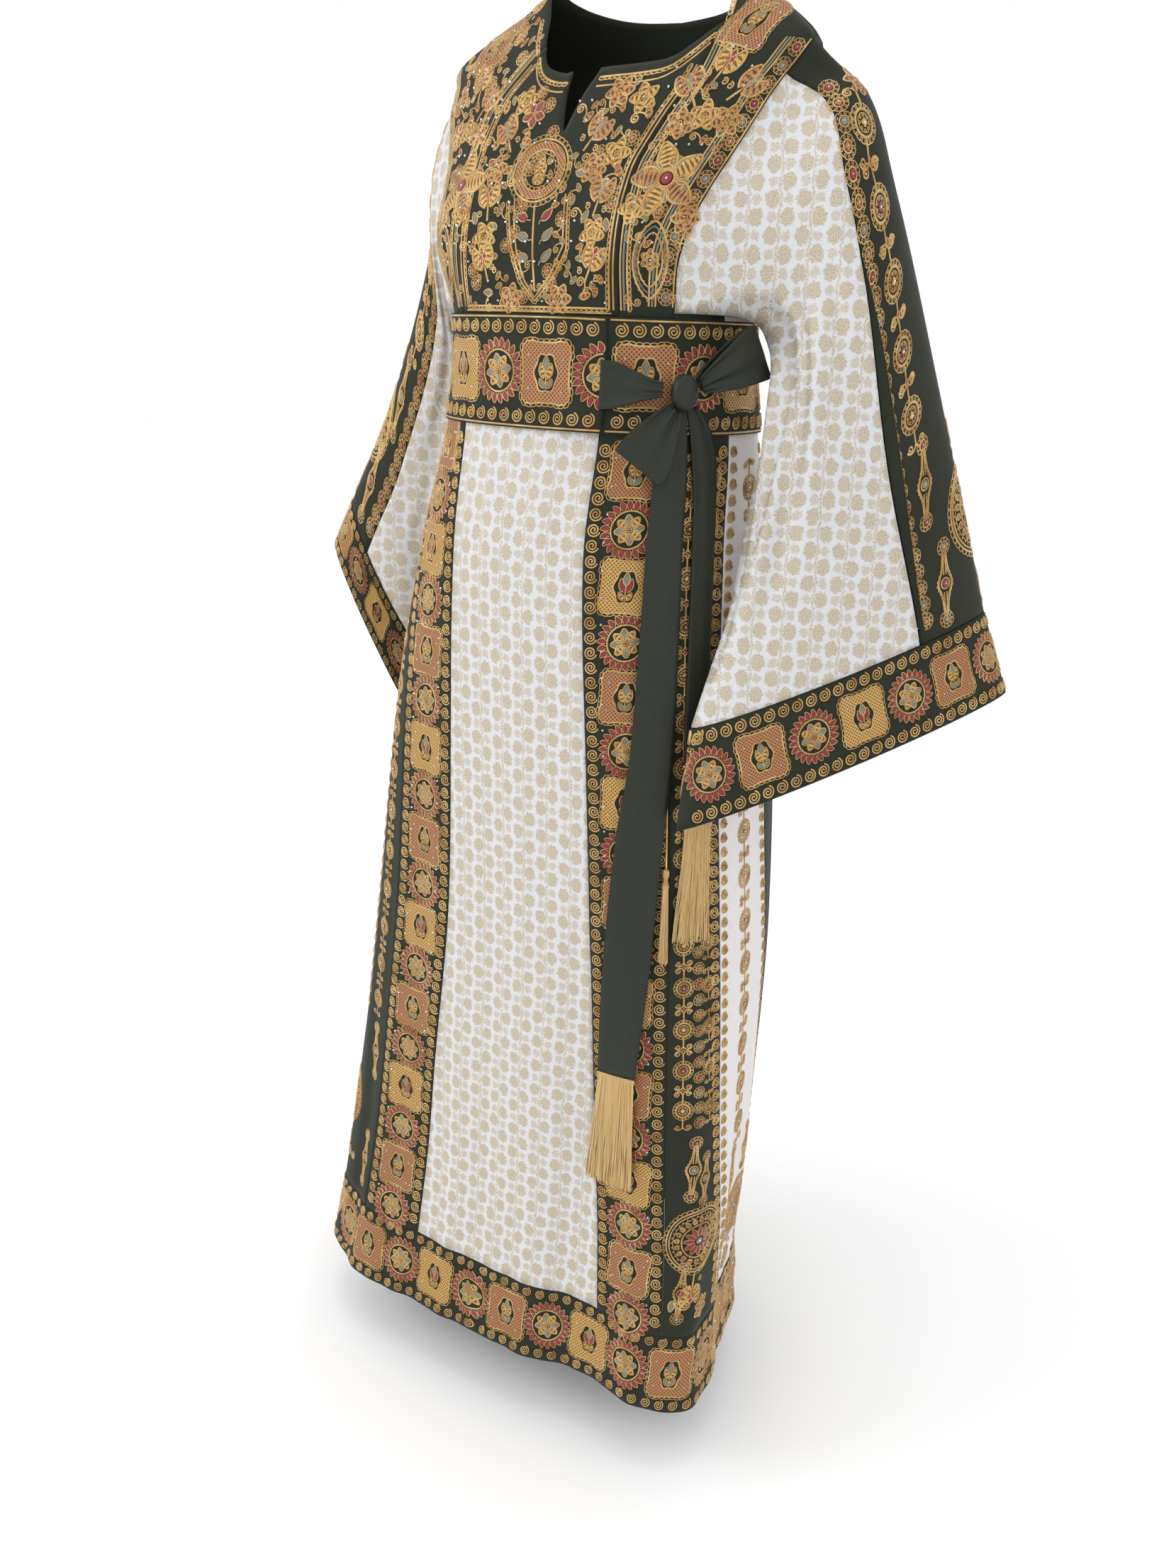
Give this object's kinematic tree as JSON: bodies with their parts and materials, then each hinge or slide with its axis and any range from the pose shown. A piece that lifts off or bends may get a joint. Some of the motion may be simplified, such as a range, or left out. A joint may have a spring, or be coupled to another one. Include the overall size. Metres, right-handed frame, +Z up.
{
  "type": "embroidered thobe",
  "caption": "Long traditional thobe with wide flared sleeves, heavily couched gold embroidery, brocade panels, a broad waist belt and a tied sash.",
  "frame": {"origin": "centre of the neck at shoulder height, where the garment hangs from the wearer", "axes": "+X to the wearer's left, -Y to the front, +Z up"},
  "size_m": [0.7645, 0.3591, 1.41],
  "materials": {
    "green_crepe": "matt crepe with couched gold cord and satin stitch",
    "ivory_brocade": "woven brocade with pale metallic sprigs",
    "white_satin": "satin with gold machine embroidery",
    "green_satin": "soft satin",
    "gold_thread": "twisted metallic thread"
  },
  "bodies": {
    "root": {"front_panel": "ivory_brocade", "sleeve_l_brocade": "ivory_brocade", "sleeve_r_brocade": "ivory_brocade", "front_band_r": "green_crepe", "front_band_l": "green_crepe", "side_panel_l": "green_crepe", "side_panel_r": "green_crepe", "back_panel": "green_crepe", "hem_band_front": "green_crepe", "hem_band_back": "green_crepe", "chest_panel": "green_crepe", "yoke_l": "green_crepe", "yoke_r": "green_crepe", "back_bodice": "green_crepe", "sleeve_l_outer": "green_crepe", "sleeve_r_outer": "green_crepe", "cuff_l_front": "green_crepe", "cuff_l_back": "green_crepe", "cuff_r_front": "green_crepe", "cuff_r_back": "green_crepe", "belt_front": "green_crepe", "belt_back": "green_crepe", "side_gore_l": "white_satin", "side_gore_r": "white_satin", "bow_loop_upper": "green_satin", "bow_loop_lower": "green_satin", "sash_strap": "green_satin", "bow_knot": "green_satin", "sash_tail_front": "green_satin", "sash_tail_back": "green_satin", "fringe_front": "gold_thread", "fringe_back": "gold_thread", "tassel_cord": "gold_thread", "tassel": "gold_thread"}
  },
  "joints": []
}
